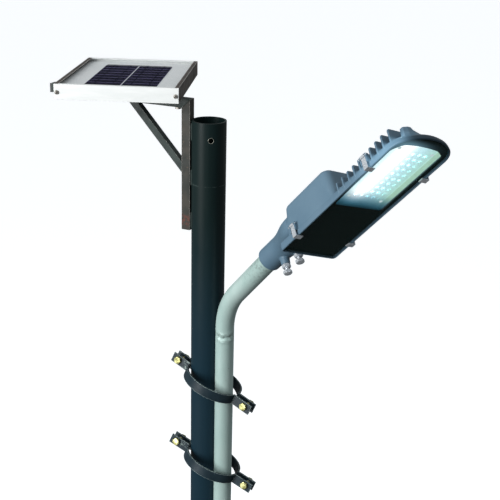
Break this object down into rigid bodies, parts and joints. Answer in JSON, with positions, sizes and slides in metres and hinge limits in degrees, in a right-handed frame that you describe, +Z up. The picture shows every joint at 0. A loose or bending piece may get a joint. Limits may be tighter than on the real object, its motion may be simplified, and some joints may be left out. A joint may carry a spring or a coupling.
{
  "type": "solar street lamp",
  "caption": "Steel lamp pole with a tilted solar panel on a triangular bracket and a bent clamp-held arm that carries a die-cast LED head.",
  "frame": {"origin": "middle of the base plate's underside, on the pole's axis", "axes": "+Z up along the pole, +X towards the side that the arm reaches out to at rest"},
  "size_m": [0.8226, 0.3423, 2.477],
  "materials": {
    "pole_paint": "semi-gloss black-green paint, scratched and dusty",
    "bracket_paint": "worn dark paint over rusting steel",
    "black_plastic": "matt",
    "panel_aluminium": "milled, slightly oxidised",
    "panel_aluminium_worn": "weathered and stained",
    "panel_glass": "clear, low iron",
    "silicon": "dark blue cells",
    "tinned_copper": "tinned ribbon",
    "backsheet": "white film",
    "electronics": "dark moulded parts",
    "screw_steel": "zinc plated, dull",
    "arm_galvanised": "pale grey-green coating",
    "clamp_paint": "navy-black paint, worn edges",
    "yellow_zinc": "yellow passivated zinc",
    "head_paint": "blue-grey powder coat on die-cast aluminium",
    "seal_rubber": "matt",
    "cover_glass": "tempered, printed black at the rear",
    "reflector_film": "white",
    "board_white": "white solder mask",
    "led_phosphor": "yellow phosphor",
    "board_green": "green solder mask",
    "cell_wrap": "blue shrink film",
    "indicator_lens": "red lens",
    "stainless": "bright stainless steel"
  },
  "bodies": {
    "pole": {"pole_tube": "pole_paint", "base_plate": "pole_paint", "base_gussets": "pole_paint", "bracket_upright": "bracket_paint", "bracket_rail": "bracket_paint", "bracket_brace": "bracket_paint", "rail_end_plug": "black_plastic", "panel_frame_front": "panel_aluminium", "panel_frame_back": "panel_aluminium", "panel_frame_left": "panel_aluminium_worn", "panel_frame_right": "panel_aluminium_worn", "panel_glass": "panel_glass", "solar_cells": "silicon", "cell_ribbons": "tinned_copper", "panel_backsheet": "backsheet", "junction_box": "black_plastic", "junction_box_lid": "black_plastic", "junction_box_diode": "electronics", "junction_box_gland": "black_plastic", "frame_screws": "screw_steel", "panel_bolts": "screw_steel", "panel_nuts": "screw_steel"},
    "clamps": {"upper_clamp_front": "clamp_paint", "upper_clamp_back": "clamp_paint", "lower_clamp_front": "clamp_paint", "lower_clamp_back": "clamp_paint", "clamp_bolts": "yellow_zinc", "clamp_nuts": "yellow_zinc", "clamp_washers": "yellow_zinc"},
    "arm": {"arm_tube": "arm_galvanised", "arm_end_cap": "black_plastic"},
    "head": {"head_housing": "head_paint", "glass_gasket": "seal_rubber", "glass_cover": "cover_glass", "reflector": "reflector_film", "led_board": "board_white", "led_chips": "led_phosphor", "board_screws": "screw_steel", "controller_board": "board_green", "controller_parts": "electronics", "board_standoffs": "yellow_zinc", "battery_cells": "cell_wrap", "battery_strap": "seal_rubber", "charge_indicator": "indicator_lens", "collar_bolts": "stainless", "collar_nuts": "stainless", "clip_pins": "stainless"},
    "rear_left_clip": {"clip_rear_left": "stainless"},
    "front_left_clip": {"clip_front_left": "stainless"},
    "rear_right_clip": {"clip_rear_right": "stainless"},
    "front_right_clip": {"clip_front_right": "stainless"}
  },
  "joints": [
    {"name": "arm_swing", "type": "hinge", "parent": "pole", "child": "clamps", "pos_m": [0, 0, 1.8], "axis": [0, 0, 1], "range_deg": [-90, 90]},
    {"name": "arm_height", "type": "slide", "parent": "clamps", "child": "arm", "axis": [0, 0, 1], "range_m": [-0.06, 0.1]},
    {"name": "head_roll", "type": "hinge", "parent": "arm", "child": "head", "pos_m": [0.22338, 0, 2.26256], "axis": [0.6769, 0, 0.7361], "range_deg": [-50, 40]},
    {"name": "rear_left_clip_swing", "type": "hinge", "parent": "head", "child": "rear_left_clip", "pos_m": [0.26291, -0.06123, 2.29269], "axis": [-0.6861, -0.0324, -0.7268], "range_deg": [0, 90]},
    {"name": "front_left_clip_swing", "type": "hinge", "parent": "head", "child": "front_left_clip", "pos_m": [0.38846, -0.05531, 2.4257], "axis": [-0.6861, -0.0324, -0.7268], "range_deg": [0, 90]},
    {"name": "rear_right_clip_swing", "type": "hinge", "parent": "head", "child": "rear_right_clip", "pos_m": [0.29163, 0.04441, 2.26088], "axis": [0.6861, 0.0324, 0.7268], "range_deg": [0, 90]},
    {"name": "front_right_clip_swing", "type": "hinge", "parent": "head", "child": "front_right_clip", "pos_m": [0.41718, 0.05033, 2.39388], "axis": [0.6861, 0.0324, 0.7268], "range_deg": [0, 90]}
  ]
}
